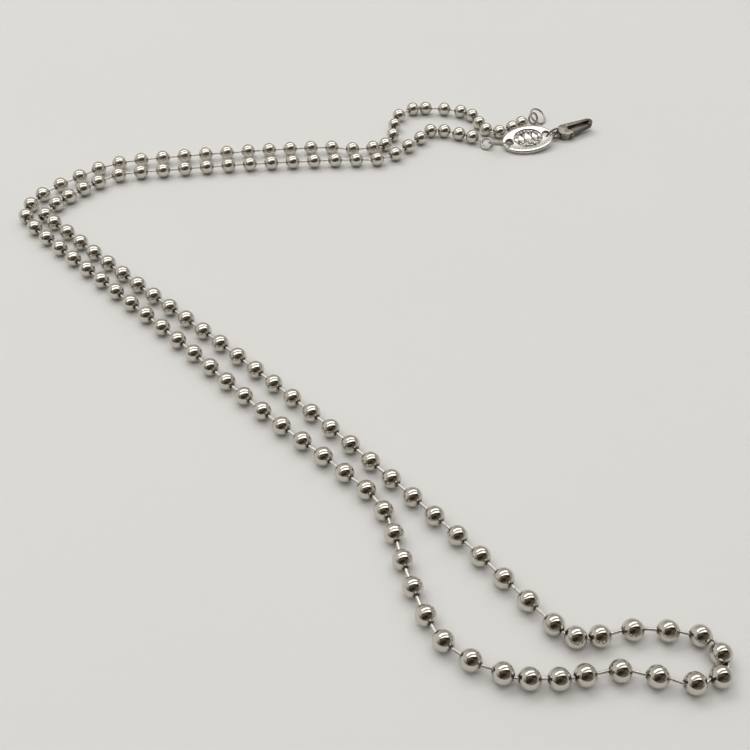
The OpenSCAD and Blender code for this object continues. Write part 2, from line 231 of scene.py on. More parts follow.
painted_hole_shade = ball.data.attributes.new("painted_hole_shade", "FLOAT", "POINT")
for vertex, value in zip(ball.data.vertices, painted_hole_shade.data):
    from_axis = hypot(vertex.co.x, vertex.co.y) / (HOLE_D / 2)
    value.value = (HOLE_SHADE if from_axis < HOLE_SHARE
                   else RIM_SHADE if from_axis < RIM_SHARE else 0)

balls = repeat("ball_string", ball,
               [Matrix.Translation(c) @ along(axis) for c, axis in zip(centres, axes)])


class Value:
    """A number in a material. Ordinary arithmetic on it adds the Math nodes."""

    def __init__(self, tree, socket):
        self.tree, self.socket = tree, socket

    def worked(self, operation, *terms):
        node = self.tree.nodes.new("ShaderNodeMath")
        node.operation = operation
        for slot, term in zip(node.inputs, terms):
            connect(self.tree, slot, term)
        return Value(self.tree, node.outputs[0])

    def __add__(self, other):
        return self.worked("ADD", self, other)

    def __radd__(self, other):
        return self.worked("ADD", other, self)

    def __sub__(self, other):
        return self.worked("SUBTRACT", self, other)

    def __rsub__(self, other):
        return self.worked("SUBTRACT", other, self)

    def __mul__(self, other):
        return self.worked("MULTIPLY", self, other)

    def __rmul__(self, other):
        return self.worked("MULTIPLY", other, self)

    def at_most(self, other):
        return self.worked("MINIMUM", self, other)


def connect(tree, slot, term):
    """Links a value to a node's socket, or sets a number or a colour on it."""
    if isinstance(term, Value):
        tree.links.new(term.socket, slot)
    elif slot.type == "RGBA" and len(term) == 3:
        slot.default_value = (*term, 1)
    else:
        slot.default_value = term


class Finish:
    """A material, or the surroundings, built up node by node."""

    def __init__(self, owner):
        owner.use_nodes = True
        self.owner, self.tree = owner, owner.node_tree
        self.tree.nodes.clear()

    def node(self, kind, output=0, settings=(), **sockets):
        """Adds a node. A socket is given by its name, or by its number as in _0."""
        node = self.tree.nodes.new("ShaderNode" + kind)
        for name, value in dict(settings).items():
            setattr(node, name, value)
        for name, value in sockets.items():
            slot = node.inputs[int(name[1:]) if name[1:].isdigit() else name.replace("_", " ")]
            connect(self.tree, slot, value)
        return Value(self.tree, node.outputs[output]) if node.outputs else None

    def spots(self, size, detail=2.0, stretch=(1, 1, 1), roughness=0.5):
        """Soft cloudy variation from 0 to 1, with spots of about this size in metres."""
        where = self.node("Mapping", Vector=self.node("TexCoord", output="Object"),
                          Scale=tuple(s / size for s in stretch))
        return self.node("TexNoise", Vector=where, Scale=1.0, Detail=detail, Roughness=roughness)

    def painted(self, name):
        """The values that a piece's points carry under this name."""
        return self.node("Attribute", output="Fac", settings={"attribute_name": name})

    def ramp(self, value, low, high):
        """0 below low and 1 above high."""
        return self.node("MapRange", Value=value, From_Min=low, From_Max=high)

    def blend(self, share, first, second):
        """A colour between two others."""
        return self.node("Mix", output=2, settings={"data_type": "RGBA"},
                         _0=share, _6=first, _7=second)

    def bump(self, strength, height):
        """Relief of up to 0.02 mm."""
        return self.node("Bump", Strength=strength, Distance=0.02 * MM, Height=height)

    def surface(self, **sockets):
        shader = self.node("BsdfPrincipled", **sockets)
        self.node("OutputMaterial", Surface=shader)
        return self.owner


silver = Finish(bpy.data.materials.new("polished_silver"))
hole_shade = silver.painted("painted_hole_shade")
breath = silver.spots(2.4 * MM)
handling = silver.spots(0.5 * MM, detail=4, roughness=0.65)
scratches = silver.spots(0.12 * MM, detail=3, stretch=(1, 6, 1), roughness=0.7)
# Painted shade in the holes, with a little random tarnish in broad spots
dulled_and_shaded = (hole_shade * 0.9 + silver.ramp(breath, 0.5, 0.8) * 0.12).at_most(1)
balls.data.materials.append(silver.surface(
    Base_Color=silver.blend(dulled_and_shaded, POLISHED, TARNISH_AND_SHADE),
    Metallic=1.0,
    Roughness=0.04 + 0.06 * silver.ramp(handling, 0.45, 0.8) + 0.35 * hole_shade,
    Normal=silver.bump(0.05, scratches + handling),
))
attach(balls, "necklace")
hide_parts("balls")


# Pins
# The short silver wires that link each ball to the next. Each end is upset into a flat head
# inside its ball, so the pin slides and turns but can't come out.

BALL_WALL = 0.15 * MM
# How much further the pins could be drawn out, and the room between head and ball then
SLACK, HEAD_GAP = 0.8 * MM, 0.1 * MM
HEAD_LIP, HEAD_T = 0.05 * MM, 0.15 * MM
HEAD_D = HOLE_D + 2 * HEAD_LIP
PIN_SIDES, CRISP = 10, radians(40)
DRAWN_BRIGHT, DRAWN_GREY = (0.82, 0.79, 0.72), (0.55, 0.515, 0.45)

head_seat = sqrt((BALL_D / 2 - BALL_WALL - HEAD_GAP) ** 2 - (HEAD_D / 2) ** 2)
pin_bare = PITCH + SLACK - 2 * head_seat
hole_reach = BALL_D / 2 - BALL_WALL / 2


def turned(name, sides, profile):
    """A piece turned on a lathe, from pairs of height and radius, from the bottom up."""
    low, radius = profile[0]
    piece = settle(start(bpy.ops.mesh.primitive_circle_add, name, vertices=sides, radius=radius,
                         location=(0, 0, low), fill_type="NGON"))
    bpy.ops.object.mode_set(mode="EDIT")
    bpy.ops.mesh.select_all(action="SELECT")
    for height, wider in profile[1:]:
        bpy.ops.mesh.extrude_region_move(TRANSFORM_OT_translate={"value": (0, 0, height - low)})
        bpy.ops.transform.resize(value=(wider / radius, wider / radius, 1))
        low, radius = height, wider
    bpy.ops.mesh.select_all(action="SELECT")
    bpy.ops.mesh.normals_make_consistent(inside=False)
    bpy.ops.object.mode_set(mode="OBJECT")
    bpy.ops.object.shade_smooth_by_angle(angle=CRISP)
    return piece


pin = turned("pin", PIN_SIDES, [
    (-pin_bare / 2 - HEAD_T, HEAD_D / 2), (-pin_bare / 2, HEAD_D / 2), (-pin_bare / 2, PIN_D / 2),
    (pin_bare / 2, PIN_D / 2), (pin_bare / 2, HEAD_D / 2), (pin_bare / 2 + HEAD_T, HEAD_D / 2)])


def pin_spot(i):
    """Where pin i lies. A hidden one points straight from ball to ball."""
    leaves = centres[i] + hole_reach * axes[i]
    enters = centres[i + 1] - hole_reach * axes[i + 1]
    way = enters - leaves if has_pin(i) else centres[i + 1] - centres[i]
    return Matrix.Translation((leaves + enters) / 2) @ along(way)


pins = repeat("link_pins", pin, [pin_spot(i) for i in range(last)])
wire = Finish(bpy.data.materials.new("drawn_silver"))
drawing_marks = wire.spots(0.3 * MM, detail=3)
pins.data.materials.append(wire.surface(
    Base_Color=wire.blend(wire.ramp(drawing_marks, 0.35, 0.7), DRAWN_BRIGHT, DRAWN_GREY),
    Metallic=1.0,
    Roughness=0.24 + 0.1 * drawing_marks,
))
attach(pins, "necklace")
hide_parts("pins")


# Eyes at the two ends
# A silver pin whose outer end is bent round into an eye and soldered shut. Its head sits in
# the end ball, and the eye holds a ring.

EYE_D, EYE_WIRE, EYE_NECK = 3 * MM, 0.5 * MM, 0.85 * MM
# How far the last eye is drawn out, and the room under both
END_EYE_DRAWN, EYE_REST_GAP = 0.88, 0.06 * MM
# How each eye lies, in degrees: (tilt, turn)
TAG_EYE_LIE, END_EYE_LIE = (38, -32), (63, 38)
# Solder widens the shank over this length, to this share of its radius
SOLDER_L, SOLDER_SHARE = 0.25 * MM, 1.24
RING_STEPS, WIRE_SIDES, EYE_CRISP = 60, 14, radians(50)
SOLDERED_BRIGHT, SOLDERED_GREY = (0.56, 0.53, 0.475), (0.3, 0.27, 0.235)

eye_r = (EYE_D - EYE_WIRE) / 2
eye_shank = BALL_D / 2 - head_seat + EYE_NECK + EYE_D / 2
eye_reach = BALL_D / 2 + EYE_NECK + EYE_D / 2

soldered = Finish(bpy.data.materials.new("soldered_silver"))
heat_marks = soldered.spots(0.5 * MM, detail=3)
soldered_silver = soldered.surface(
    Base_Color=soldered.blend(soldered.ramp(heat_marks, 0.35, 0.7),
                              SOLDERED_BRIGHT, SOLDERED_GREY),
    Metallic=1.0,
    Roughness=0.16 + 0.12 * heat_marks,
)


def lie(tilt, slope, turn):
    """How a piece lies: turned about X, then Y, then Z, in degrees."""
    return Euler((radians(tilt), radians(slope), radians(turn))).to_matrix().to_4x4()


def eye_lie(tilt, turn, reach):
    """The slope that brings the eye down on the surface."""
    height = EYE_WIRE / 2 + eye_r * abs(sin(radians(tilt))) + EYE_REST_GAP
    return lie(tilt, degrees(asin((BALL_D / 2 - height) / reach)), turn)


def solid_of(operation, piece, *others):
    """Cuts other solids out of a piece, or fuses them to it."""
    for other in others:
        change = piece.modifiers.new("shape", "BOOLEAN")
        change.operation, change.object, change.solver = operation, other, "EXACT"
        choose(piece)
        bpy.ops.object.modifier_apply(modifier=change.name)
        bpy.data.objects.remove(other)
    return piece


def eye_pin(name, node, at, turn):
    """The eye, with its shank along -X and its head at the far end of the shank."""
    piece = start(bpy.ops.mesh.primitive_torus_add, name, major_segments=RING_STEPS,
                  minor_segments=WIRE_SIDES, major_radius=eye_r, minor_radius=EYE_WIRE / 2)
    shank = turned("shank", WIRE_SIDES, [
        (-HEAD_T, HEAD_D / 2), (0, HEAD_D / 2), (0, PIN_D / 2),
        (eye_shank - EYE_D / 2 - SOLDER_L, PIN_D / 2),
        (eye_shank - eye_r, SOLDER_SHARE * PIN_D / 2)])
    shank.matrix_world = Matrix.Translation((-eye_shank, 0, 0)) @ Matrix.Rotation(pi / 2, 4, "Y")
    solid_of("UNION", piece, settle(shank))
    bpy.ops.object.shade_smooth_by_angle(angle=EYE_CRISP)
    piece.matrix_world = Matrix.Translation(at) @ turn
    settle(piece)
    piece.data.materials.append(soldered_silver)
    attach(piece, "necklace")
    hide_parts(node)


tag_eye_turn = eye_lie(*TAG_EYE_LIE, eye_reach)
tag_eye_at = (centres[0] - hole_reach * axes[0]
              + (eye_reach - hole_reach) * (tag_eye_turn @ Vector((1, 0, 0))))
eye_pin("first_eye", "tag_eye_pin", tag_eye_at, tag_eye_turn)

end_eye_reach = eye_reach - (1 - END_EYE_DRAWN) * EYE_NECK
end_eye_turn = eye_lie(*END_EYE_LIE, end_eye_reach)
end_eye_at = (centres[last] + hole_reach * axes[last]
              + (end_eye_reach - hole_reach) * (end_eye_turn @ Vector((1, 0, 0))))
eye_pin("last_eye", "end_eye_pin", end_eye_at, end_eye_turn)


# Silver rings
# Round silver wire bent into rings, each closed with its two cut ends butted together. One
# joins the first eye to the tag, and the clasp hooks into the one at the other end.

RING_WIRE, TAG_RING_D, END_RING_D = 0.45 * MM, 5.05 * MM, 4.35 * MM
# Room left under what lies on the surface
REST_GAP = 0.03 * MM
# How far each ring has slipped along the eye before it, in which direction, how it lies, and
# where its cut is. Angles are in degrees.
TAG_RING_SLIP, TAG_RING_WAY, TAG_RING_LIE, TAG_RING_CUT_AT = 0.5 * MM, -10, (-32, 5, 6), 100
END_RING_SLIP, END_RING_WAY, END_RING_LIE, END_RING_CUT_AT = -0.18 * MM, 45, (33, 10, 35), 20
RING_CUT, WELD_WITHIN = 3.0, 0.001 * MM


def rested(point, height):
    return Vector((point.x, point.y, height))


def level(angle):
    """The level direction at this angle."""
    return Vector((cos(radians(angle)), sin(radians(angle)), 0))


def ring_r(d):
    return (d - RING_WIRE) / 2


def ring_place(d, held_at, slip, way, angles):
    """The middle of a ring that hangs on a point and rests on the surface."""
    tilt, slope = radians(angles[0]), radians(angles[1])
    rise = ring_r(d) * hypot(sin(slope), cos(slope) * sin(tilt))
    return rested(held_at + (ring_r(d) + slip) * level(way), RING_WIRE / 2 + rise + REST_GAP)


def cut_ring(name, node, d, at, angles, cut_at, metal):
    """A round wire bent into a ring, with a fine cut where its ends meet."""
    ring = settle(start(bpy.ops.mesh.primitive_circle_add, name, vertices=WIRE_SIDES,
                        radius=RING_WIRE / 2, location=(ring_r(d), 0, 0),
                        rotation=(pi / 2, 0, 0), fill_type="NGON"))
    bpy.ops.object.mode_set(mode="EDIT")
    bpy.ops.mesh.select_all(action="SELECT")
    bpy.ops.mesh.spin(steps=RING_STEPS, angle=radians(360 - RING_CUT), center=(0, 0, 0),
                      axis=(0, 0, 1))
    bpy.ops.mesh.select_all(action="SELECT")
    bpy.ops.mesh.remove_doubles(threshold=WELD_WITHIN)
    bpy.ops.mesh.normals_make_consistent(inside=False)
    bpy.ops.object.mode_set(mode="OBJECT")
    bpy.ops.object.shade_smooth_by_angle(angle=CRISP)
    ring.matrix_world = (Matrix.Translation(at) @ lie(*angles)
                         @ Matrix.Rotation(radians(cut_at), 4, "Z"))
    settle(ring)
    ring.data.materials.append(metal)
    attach(ring, "necklace")
    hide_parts(node)


tag_ring_at = ring_place(TAG_RING_D, tag_eye_at, TAG_RING_SLIP, TAG_RING_WAY, TAG_RING_LIE)
cut_ring("tag_jump_ring", "tag_ring", TAG_RING_D, tag_ring_at, TAG_RING_LIE, TAG_RING_CUT_AT,
         soldered_silver)
end_ring_at = ring_place(END_RING_D, end_eye_at, END_RING_SLIP, END_RING_WAY, END_RING_LIE)
cut_ring("end_jump_ring", "end_ring", END_RING_D, end_ring_at, END_RING_LIE, END_RING_CUT_AT,
         soldered_silver)


# Tag
# An oval cast silver plate, 12 mm long, with a hole at each end and rounded, polished rims.
# Its face has a sunk field that is blackened, with a plain ornament left raised and bright.

TAG_L, TAG_W, TAG_T = 12 * MM, 7.9 * MM, 1 * MM
TAG_HOLE_D, TAG_HOLE_EDGE, TAG_HOLE_BEVEL = 1.7 * MM, 0.6 * MM, 0.25 * MM
FIELD_L, FIELD_W, FIELD_DEPTH = 6.8 * MM, 5.5 * MM, 0.2 * MM
OVAL_SIDES, TAG_HOLE_SIDES, DOT_SIDES = 96, 48, 16
# How far the tag has slipped along its ring, in which direction, and how it lies, in degrees
TAG_SLIP, TAG_WAY, TAG_LIE = -0.05 * MM, 11, (15, -5, 19)
# The plate's rounding from the bottom up: height in mm, share of the full width
TAG_PROFILE = [
    (-0.5, 0.94), (-0.45, 0.97), (-0.36, 0.99), (-0.25, 1), (0.12, 1), (0.24, 0.985),
    (0.33, 0.955), (0.4, 0.9), (0.45, 0.82), (0.48, 0.72), (0.5, 0.62),
]
LOZENGES = [
    # share along, half length, half width
    (0, 0.125, 0.3), (0.235, 0.095, 0.235), (-0.235, 0.095, 0.235),
    (0.405, 0.055, 0.14), (-0.405, 0.055, 0.14),
]
LOZENGE_EDGE = 0.07 * MM
DOTS = [
    # share along, share across
    (0, 0.39), (0.12, 0.33), (0.235, 0.33), (0.335, 0.22),
]
DOT_D = 0.48 * MM
# A dot's rounding: height in mm above the field's floor, share of the full width
DOT_PROFILE = [(-0.05, 1), (0.1, 1), (0.16, 0.85), (0.2, 0.4)]
# How far the lozenges are set into the field's floor
STUD_FOOT = 0.05 * MM
# How black the field and the insides of the holes are, and how dark the painted shade on the
# plate's side is
FIELD_BLACK, HOLE_BLACK, SIDE_SHADE = 1, 0.75, 0.35
# Where each of them ends: as a share of the oval's full size, or as a distance
FIELD_REACH, FIELD_TOP_GAP = 0.505, 0.07 * MM
HOLE_MARGIN = 0.02 * MM
SIDE_FROM, SIDE_HALF_T = 0.48, 0.3 * MM
# Bright silver, and the black of the field, which also serves for the painted shade on the side
TAG_BRIGHT, TAG_BLACK_AND_SHADE = (0.78, 0.755, 0.69), (0.07, 0.06, 0.05)


def made_oval(piece, length, width):
    """Squeezes a round piece to an oval."""
    piece.scale.y = width / length
    return settle(piece)


def soften(piece, width, segments, angle=30):
    """Rounds every edge that is sharper than the angle."""
    round_over = piece.modifiers.new("edges", "BEVEL")
    round_over.width, round_over.segments = width, segments
    round_over.limit_method, round_over.angle_limit = "ANGLE", radians(angle)
    choose(piece)
    bpy.ops.object.modifier_apply(modifier=round_over.name)
    bpy.ops.object.shade_smooth_by_angle(angle=CRISP)
    return piece


tag = made_oval(turned("oval_tag", OVAL_SIDES, [
    (height * MM, share * TAG_L / 2) for height, share in TAG_PROFILE]), TAG_L, TAG_W)
tag_hole_x = TAG_L / 2 - TAG_HOLE_EDGE - TAG_HOLE_D / 2
cone_r = TAG_HOLE_D / 2 + TAG_HOLE_BEVEL + TAG_T / 2
for side in (-1, 1):
    drill = turned("drill", TAG_HOLE_SIDES, [
        (-TAG_T, cone_r), (-TAG_T / 2 + TAG_HOLE_BEVEL, TAG_HOLE_D / 2),
        (TAG_T / 2 - TAG_HOLE_BEVEL, TAG_HOLE_D / 2), (TAG_T, cone_r)])
    drill.location.x = side * tag_hole_x
    solid_of("DIFFERENCE", tag, settle(drill))
field_z = TAG_T / 2 - FIELD_DEPTH
field = start(bpy.ops.mesh.primitive_cylinder_add, "field", vertices=OVAL_SIDES,
              radius=FIELD_L / 2, depth=TAG_T - field_z, location=(0, 0, (field_z + TAG_T) / 2))
solid_of("DIFFERENCE", tag, made_oval(field, FIELD_L, FIELD_W))

raised = []
stud_t = FIELD_DEPTH + STUD_FOOT
for along_share, half_l, half_w in LOZENGES:
    lozenge = start(bpy.ops.mesh.primitive_cylinder_add, "lozenge", vertices=4, radius=1,
                    depth=stud_t, location=(along_share * FIELD_L, 0, (TAG_T - stud_t) / 2))
    lozenge.scale = (half_l * FIELD_L, half_w * FIELD_W, 1)
    raised.append(soften(settle(lozenge), LOZENGE_EDGE, segments=2))
for along_share, across_share in DOTS:
    for side in (-1, 1):
        for end in (-1, 1) if along_share else (1,):
            dot = turned("dot", DOT_SIDES, [
                (field_z + height * MM, share * DOT_D / 2) for height, share in DOT_PROFILE])
            dot.location = (end * along_share * FIELD_L, side * across_share * FIELD_W, 0)
            raised.append(settle(dot))
solid_of("UNION", tag, *raised)
bpy.ops.object.shade_smooth_by_angle(angle=CRISP)

blackening_and_shade = tag.data.attributes.new("blackened_and_shaded", "FLOAT", "POINT")
for vertex, value in zip(tag.data.vertices, blackening_and_shade.data):
    x, y, z = vertex.co
    in_field = (hypot(x / FIELD_L, y / FIELD_W) < FIELD_REACH
                and z < TAG_T / 2 - FIELD_TOP_GAP)
    in_hole = hypot(abs(x) - tag_hole_x, y) < TAG_HOLE_D / 2 + HOLE_MARGIN
    # The plate's side gets painted shade, darker than the polished face
    on_side = hypot(x / TAG_L, y / TAG_W) > SIDE_FROM and abs(z) < SIDE_HALF_T
    value.value = (FIELD_BLACK if in_field else HOLE_BLACK if in_hole
                   else SIDE_SHADE if on_side else 0)

tag_turn = lie(*TAG_LIE)
hole_shift = tag_turn @ Vector((tag_hole_x, 0, 0))
tag_near_hole = tag_ring_at + (ring_r(TAG_RING_D) + TAG_SLIP) * level(TAG_WAY)
tag_tilt, tag_slope = radians(TAG_LIE[0]), radians(TAG_LIE[1])
tag_rise = (hypot(TAG_L / 2 * sin(tag_slope), TAG_W / 2 * cos(tag_slope) * sin(tag_tilt))
            + TAG_T / 2 * cos(tag_slope) * cos(tag_tilt) + REST_GAP)
tag_at = rested(tag_near_hole + hole_shift, tag_rise)
tag.matrix_world = Matrix.Translation(tag_at) @ tag_turn
settle(tag)

plate = Finish(bpy.data.materials.new("tag_silver"))
patchy = plate.spots(0.7 * MM, detail=4, roughness=0.6)
worn = plate.spots(0.25 * MM, detail=3)
scuffs = plate.spots(0.1 * MM, detail=3, stretch=(1, 5, 1), roughness=0.7)
# The blackened field and holes, and the painted shade on the side, uneven in patches
soot_and_shade = (plate.painted("blackened_and_shaded") * (0.45 + 0.6 * plate.ramp(patchy, 0.4, 0.62))).at_most(1)
tag.data.materials.append(plate.surface(
    Base_Color=plate.blend(soot_and_shade, TAG_BRIGHT, TAG_BLACK_AND_SHADE),
    Metallic=1.0,
    Roughness=0.2 + 0.10 * plate.ramp(worn, 0.45, 0.75) + 0.2 * soot_and_shade,
    Normal=plate.bump(0.12, scuffs + patchy),
))
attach(tag, "necklace")
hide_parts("tag")


# Dark ring
# The small ring that joins the tag to the clasp. It is the clasp's own dark metal, with the
# colour rubbed thin on the outside.

CLASP_RING_D = 3.7 * MM
CLASP_RING_SLIP, CLASP_RING_WAY = 0.2 * MM, 37
CLASP_RING_LIE, CLASP_RING_CUT_AT = (-67, 9, 43), 200
DARK_BROWN, BROWN = (0.085, 0.073, 0.062), (0.19, 0.16, 0.13)
# The grey of rubbed spots and of the painted sheen at the root, and the black of the painted
# shade at the tip
RUBBED_AND_SHEEN_GREY, TIP_SHADE_BLACK = (0.42, 0.39, 0.345), (0.05, 0.042, 0.035)

dark = Finish(bpy.data.materials.new("dark_metal"))
cast = dark.spots(0.6 * MM, detail=4, roughness=0.6)
rubbed = dark.spots(1.6 * MM, detail=3)
grain = dark.spots(0.09 * MM, detail=3)
shade_to_tip = dark.painted("painted_shade_to_tip")
brown = dark.blend(dark.ramp(cast, 0.35, 0.7), DARK_BROWN, BROWN)
# Rubbed spots of wear, and painted sheen that fades towards the tip as the painted shade grows
wear_and_sheen = dark.ramp(rubbed, 0.4, 0.65) * 0.75 * (1 - shade_to_tip) + 0.15 * (1 - shade_to_tip)
dark_metal = dark.surface(
    Base_Color=dark.blend(shade_to_tip * 0.6, dark.blend(wear_and_sheen, brown, RUBBED_AND_SHEEN_GREY), TIP_SHADE_BLACK),
    Metallic=1.0,
    Roughness=0.24 + 0.16 * cast,
    Normal=dark.bump(0.15, grain),
)
clasp_ring_at = ring_place(CLASP_RING_D, tag_at + hole_shift, CLASP_RING_SLIP, CLASP_RING_WAY,
                           CLASP_RING_LIE)
cut_ring("clasp_jump_ring", "clasp_ring", CLASP_RING_D, clasp_ring_at, CLASP_RING_LIE,
         CLASP_RING_CUT_AT, dark_metal)


# Clasp
# A small cast lobster clasp of darkened silver: a flat hook with an eye at its wide end, and
# a slot between two cheeks that holds the lever and its spring.

CLASP_L, CLASP_T, CLASP_TIP_T = 10.2 * MM, 1.7 * MM, 1.2 * MM
CLASP_ROOT_R, CLASP_TIP_R, CLASP_ARM = 1.85 * MM, 1 * MM, 1 * MM
CLASP_EYE_D, CLASP_EYE_WIRE, CLASP_EYE_STEPS = 2.5 * MM, 0.6 * MM, 48
# How far the eye is set into the wide end, and the tip off the clasp's middle line
EYE_SET, TIP_RISE = 0.1 * MM, 0.77 * MM
# The hook's opening: radius at its two ends, where it starts after the wide end, and how much
# thicker the arm is there
BOW_R, BOW_TIP_R, BOW_SHIFT, BOW_EXTRA = 0.7 * MM, 0.25 * MM, 1.3 * MM, 0.05 * MM
# Where the gate starts after the wide end and ends before the tip's middle, and how far past
# the clasp's middle line it reaches
GATE_START, GATE_END, GATE_TOP = 1.35 * MM, 0.5 * MM, 0.5 * MM
# The lever: place of its pivot, its two ends, the wall beside the pivot, the room before its
# tip, and how far the tip lies off the middle line
PIVOT_SHIFT, LEVER_ROOT_R, LEVER_TIP_R, LEVER_EDGE = 0.4 * MM, 0.8 * MM, 0.33 * MM, 0.2 * MM
LEVER_TIP_GAP, LEVER_TIP_SET, LEVER_OPEN = 0.07 * MM, 0.2 * MM, 8
# The lever's slot and the room round the lever in it, the thumb nub and the rivet
SLOT_T, SLOT_ROOM, LEVER_PLAY, NUB_R = 1 * MM, 0.12 * MM, 0.08 * MM, 0.4 * MM
RIVET_D, RIVET_FIT, RIVET_HOLE_SIDES = 0.7 * MM, 0.02 * MM, 32
CLASP_EDGE, CLASP_CRISP = 0.26 * MM, radians(35)
# Sides of a rounded end, and of the hook's, and how level two faces are to become one
END_SIDES, HOOK_SIDES, LEVEL_WITHIN = 40, 64, radians(1)
# How far the clasp has slipped along its ring, in which direction, and how it lies, in degrees
CLASP_SLIP, CLASP_WAY, CLASP_LIE = -0.28 * MM, 45, (8, -4, 25)
# How far a cut runs past what it opens
CUT = 1 * MM

root_at = Vector((CLASP_EYE_D / 2 - CLASP_EYE_WIRE + EYE_SET + CLASP_ROOT_R, 0, 0))
tip_at = Vector((CLASP_L - CLASP_TIP_R, TIP_RISE, 0))
bow_at = root_at + Vector((BOW_SHIFT, CLASP_ROOT_R - CLASP_ARM - BOW_EXTRA - BOW_R, 0))
gate_from, gate_to = root_at.x + GATE_START, tip_at.x - GATE_END
pivot_at = root_at + Vector((PIVOT_SHIFT, LEVER_ROOT_R + LEVER_EDGE - CLASP_ROOT_R, 0))
lever_tip_at = Vector((gate_to - LEVER_TIP_R - LEVER_TIP_GAP, -LEVER_TIP_SET, 0))
clasp_tilt, clasp_slope = radians(CLASP_LIE[0]), radians(CLASP_LIE[1])
clasp_rise = (CLASP_T / 2 * cos(clasp_tilt) * cos(clasp_slope) + root_at.x * sin(clasp_slope)
              + CLASP_ROOT_R * hypot(sin(clasp_tilt) * cos(clasp_slope), sin(clasp_slope))
              + REST_GAP)
clasp_at = rested(clasp_ring_at + (ring_r(CLASP_RING_D) + CLASP_SLIP) * level(CLASP_WAY),
                  clasp_rise)
clasp_place = Matrix.Translation(clasp_at) @ lie(*CLASP_LIE)


def taper(name, a, b, r_a, r_b, thickness, sides=END_SIDES):
    """A flat block round two circles."""
    piece = join(name, [
        start(bpy.ops.mesh.primitive_cylinder_add, name, vertices=sides, radius=radius,
              depth=thickness, location=at) for at, radius in ((a, r_a), (b, r_b))])
    bpy.ops.object.mode_set(mode="EDIT")
    bpy.ops.mesh.select_all(action="SELECT")
    bpy.ops.mesh.convex_hull()
    bpy.ops.mesh.dissolve_limited(angle_limit=LEVEL_WITHIN)
    bpy.ops.object.mode_set(mode="OBJECT")
    return piece


def block(name, low, high):
    """A box between two corners."""
    low, high = Vector(low), Vector(high)
    piece = start(bpy.ops.mesh.primitive_cube_add, name, size=1, location=(low + high) / 2)
    piece.scale = high - low
    return settle(piece)


def about_pivot(piece, angle):
    piece.matrix_world = (Matrix.Translation(pivot_at) @ Matrix.Rotation(radians(angle), 4, "Z")
                          @ Matrix.Translation(-pivot_at))
    return settle(piece)


def thin_to_tip(piece, inset=0.0):
    """Cuts a flat piece down to the clasp's thickness, which falls towards the tip."""
    root, tip, far = CLASP_T / 2 - inset, CLASP_TIP_T / 2 - inset, 2 * CLASP_ROOT_R
    wide = block("wide", (-CLASP_L, -far, -root), (root_at.x, far, root))
    wedge = block("wedge", (root_at.x, -far, -root), (CLASP_L + CUT, far, root))
    for vertex in wedge.data.vertices:
        if vertex.co.x > CLASP_L:
            vertex.co.z *= tip / root
    return solid_of("INTERSECT", piece, solid_of("UNION", wedge, wide))


def finish_clasp_piece(piece, body, node, at_root=0.0, at_tip=1.0):
    """Places a piece of the clasp. Its colour carries painted sheen at the root and painted shade
    towards the tip.
    """
    painted_shade_to_tip = piece.data.attributes.new("painted_shade_to_tip", "FLOAT", "POINT")
    for vertex, value in zip(piece.data.vertices, painted_shade_to_tip.data):
        share = min(max((vertex.co.x - root_at.x) / (tip_at.x - root_at.x), 0), 1)
        value.value = at_root + (at_tip - at_root) * share
    piece.matrix_world = clasp_place
    settle(piece)
    piece.data.materials.append(dark_metal)
    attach(piece, body)
    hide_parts(node)


through = 2 * CLASP_T
clasp = thin_to_tip(
    taper("clasp_hook", root_at, tip_at, CLASP_ROOT_R, CLASP_TIP_R, through, HOOK_SIDES))
solid_of("DIFFERENCE", clasp,
         taper("bow", bow_at, tip_at, BOW_R, BOW_TIP_R, 2 * through),
         block("gate", (gate_from, -2 * CLASP_ROOT_R, -through), (gate_to, GATE_TOP, through)))
soften(clasp, CLASP_EDGE, segments=4)
sweeps = [about_pivot(taper("sweep", pivot_at, lever_tip_at, LEVER_ROOT_R + SLOT_ROOM,
                            LEVER_TIP_R + SLOT_ROOM, SLOT_T), angle)
          for angle in (0, LEVER_OPEN)]
slot = block("slot", (pivot_at.x - NUB_R / 2, pivot_at.y - 2 * CLASP_ROOT_R, -SLOT_T / 2),
             (gate_from + NUB_R / 2, pivot_at.y, SLOT_T / 2))
rivet_hole = start(bpy.ops.mesh.primitive_cylinder_add, "rivet_hole", vertices=RIVET_HOLE_SIDES,
                   radius=RIVET_D / 2 + RIVET_FIT, depth=through, location=pivot_at)
solid_of("DIFFERENCE", clasp, *sweeps, slot, rivet_hole)
solid_of("UNION", clasp, start(
    bpy.ops.mesh.primitive_torus_add, "clasp_eye", major_segments=CLASP_EYE_STEPS,
    minor_segments=WIRE_SIDES, major_radius=(CLASP_EYE_D - CLASP_EYE_WIRE) / 2,
    minor_radius=CLASP_EYE_WIRE / 2))
bpy.ops.object.shade_smooth_by_angle(angle=CLASP_CRISP)
finish_clasp_piece(clasp, "necklace", "clasp_body")


# Clasp lever
# The sprung lever that closes the hook, with a thumb nub at its root. It turns on the rivet,
# and its bar stands proud of the slot where it bridges the gate.

# How much lower than the cheeks the bar is, and how far the nub lies beyond the pivot
BAR_INSET, NUB_SHIFT = 0.15 * MM, 0.4 * MM
LEVER_BEVEL = 0.1 * MM

